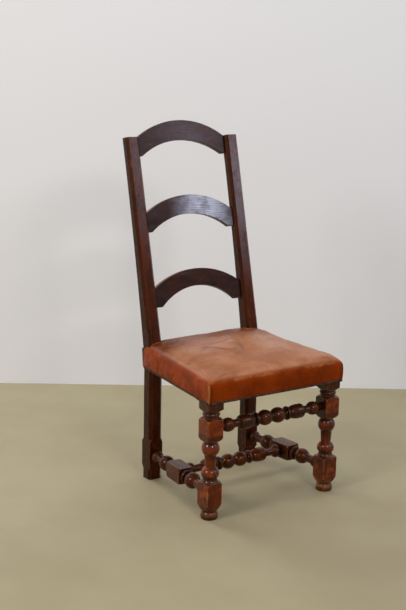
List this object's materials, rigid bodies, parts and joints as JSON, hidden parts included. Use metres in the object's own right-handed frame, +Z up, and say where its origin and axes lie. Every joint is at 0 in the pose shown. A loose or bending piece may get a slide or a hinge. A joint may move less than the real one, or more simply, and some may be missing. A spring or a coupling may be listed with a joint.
{
  "type": "dining chair",
  "caption": "High-back wooden dining chair with arched ladder slats, turned front legs, turned stretchers and a padded leather seat.",
  "frame": {"origin": "on the floor, at the middle of the chair's width and depth", "axes": "+Z up; the chair faces -Y; +X is the sitter's left"},
  "size_m": [0.527, 0.6094, 1.18],
  "materials": {
    "post_wood": "satin",
    "leg_wood": "gloss",
    "stretcher_wood": "satin",
    "rail_wood": "matt",
    "peg_wood": "matt",
    "webbing": "matt",
    "hessian": "matt",
    "stuffing": "matt",
    "seat_leather": "semi-gloss",
    "trim": "semi-gloss"
  },
  "bodies": {
    "root": {"rear_post_left": "post_wood", "rear_post_right": "post_wood", "crest_slat": "post_wood", "middle_slat": "post_wood", "lower_slat": "post_wood", "front_leg_left": "leg_wood", "front_leg_right": "leg_wood", "front_stretcher": "stretcher_wood", "cross_stretcher": "stretcher_wood", "side_stretcher_left": "stretcher_wood", "side_stretcher_right": "stretcher_wood", "seat_rail_front": "rail_wood", "seat_rail_back": "rail_wood", "seat_rail_left": "rail_wood", "seat_rail_right": "rail_wood", "webbing_lengthwise": "webbing", "webbing_crosswise": "webbing", "hessian": "hessian", "seat_stuffing": "stuffing", "side_wadding": "stuffing", "seat_leather": "seat_leather", "trim_band": "trim", "slat_pegs": "peg_wood", "rail_pegs": "peg_wood"}
  },
  "joints": []
}
